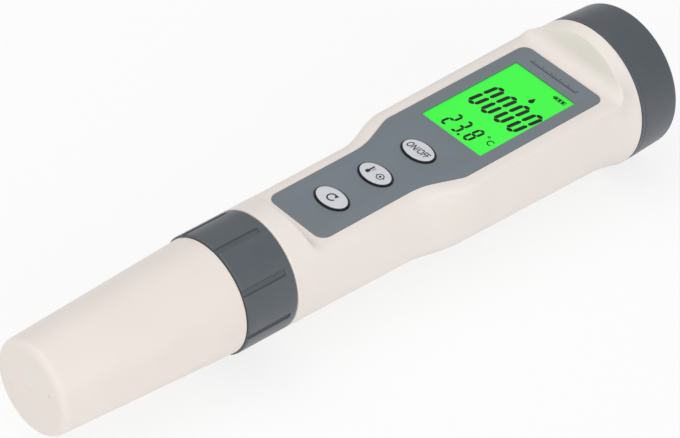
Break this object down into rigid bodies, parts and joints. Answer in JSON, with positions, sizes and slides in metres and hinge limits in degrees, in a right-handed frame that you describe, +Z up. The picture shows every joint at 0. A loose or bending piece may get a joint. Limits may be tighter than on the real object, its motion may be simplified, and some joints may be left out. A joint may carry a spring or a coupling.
{
  "type": "water quality tester",
  "caption": "Pen-shaped water quality tester with a display and oval keys, a pull-off cap over its probe, a screwed collar that holds the electrode and a screw cap over its cells.",
  "frame": {"origin": "on the surface it lies on, below the middle of its length", "axes": "+X along the tester from the protective cap's tip to the battery cap, +Z up out of the display's side, Y across"},
  "size_m": [0.188, 0.0392, 0.0392],
  "materials": {
    "cream_plastic": "smooth moulded plastic, semi gloss",
    "dark_grey_plastic": "moulded plastic, satin",
    "panel_film": "printed film, satin",
    "clear_window": "clear plastic, glossy",
    "display": "lit green display glass",
    "white_plastic": "moulded plastic, plain",
    "silver_key": "silver painted plastic, satin",
    "black_plastic": "moulded plastic, satin",
    "seal_rubber": "soft rubber",
    "board": "green circuit board",
    "steel": "bright steel",
    "brass": "plated brass",
    "silver_wire": "silver wire",
    "bulb_glass": "clear thin glass",
    "junction": "porous ceramic"
  },
  "bodies": {
    "body": {"body_shell": "cream_plastic", "front_panel": "panel_film", "display_window": "clear_window", "display_frame": "white_plastic", "display_glass": "display", "backlight": "white_plastic", "zebra_strip": "seal_rubber", "circuit_board": "board", "main_chip": "black_plastic", "switch_mode": "black_plastic", "switch_calibration": "black_plastic", "switch_power": "black_plastic", "electrode_socket": "black_plastic", "battery_carrier": "white_plastic", "carrier_screws": "steel", "button_cell_1": "steel", "button_cell_2": "steel", "button_cell_3": "steel", "button_cell_4": "steel", "cell_spring": "steel", "negative_contact": "brass", "positive_contact": "brass", "battery_cap_seal": "seal_rubber"},
    "electrode": {"electrode_body": "black_plastic", "collar_clip": "steel", "body_seal": "seal_rubber", "glass_bulb": "bulb_glass", "glass_plug": "seal_rubber", "core_wire": "silver_wire", "conductivity_pins": "steel", "temperature_probe": "steel", "reference_junction": "junction", "electrode_plug": "white_plastic", "connector_pins": "brass"},
    "collar": {"locking_collar": "dark_grey_plastic", "cap_seal": "seal_rubber"},
    "tip_cap": {"protective_cap": "cream_plastic"},
    "contact": {"contact_plate": "brass"},
    "battery_end": {"battery_cap": "dark_grey_plastic", "cap_rivet": "brass"},
    "mode_key": {"key_mode": "silver_key", "plunger_mode": "black_plastic"},
    "calibration_key": {"key_calibration": "silver_key", "plunger_calibration": "black_plastic"},
    "power_key": {"key_power": "silver_key", "plunger_power": "black_plastic"}
  },
  "joints": [
    {"name": "electrode_slide", "type": "slide", "parent": "body", "child": "electrode", "axis": [-1, 0, 0], "range_m": [0, 0.0045]},
    {"name": "collar_turn", "type": "hinge", "parent": "electrode", "child": "collar", "pos_m": [-0.035, 0, 0.0196], "axis": [-1, 0, 0], "range_deg": [0, 1080]},
    {"name": "cap_pull", "type": "slide", "parent": "collar", "child": "tip_cap", "axis": [-1, 0, 0], "range_m": [0, 0.045]},
    {"name": "contact_slide", "type": "slide", "parent": "body", "child": "contact", "axis": [1, 0, 0], "range_m": [0, 0.004]},
    {"name": "battery_cap_turn", "type": "hinge", "parent": "contact", "child": "battery_end", "pos_m": [0.085, 0, 0.0196], "axis": [1, 0, 0], "range_deg": [0, 720]},
    {"name": "mode_press", "type": "slide", "parent": "body", "child": "mode_key", "axis": [0.0161, 0, -0.9999], "range_m": [0, 0.0004], "stiffness_N_per_m": 500},
    {"name": "calibration_press", "type": "slide", "parent": "body", "child": "calibration_key", "axis": [0.0161, 0, -0.9999], "range_m": [0, 0.0004], "stiffness_N_per_m": 500},
    {"name": "power_press", "type": "slide", "parent": "body", "child": "power_key", "axis": [0.0161, 0, -0.9999], "range_m": [0, 0.0004], "stiffness_N_per_m": 500}
  ],
  "couplings": [
    {"joint": "electrode_slide", "follows": "collar_turn", "m_per_rad": 0.00023873},
    {"joint": "contact_slide", "follows": "battery_cap_turn", "m_per_rad": 0.0003183}
  ]
}
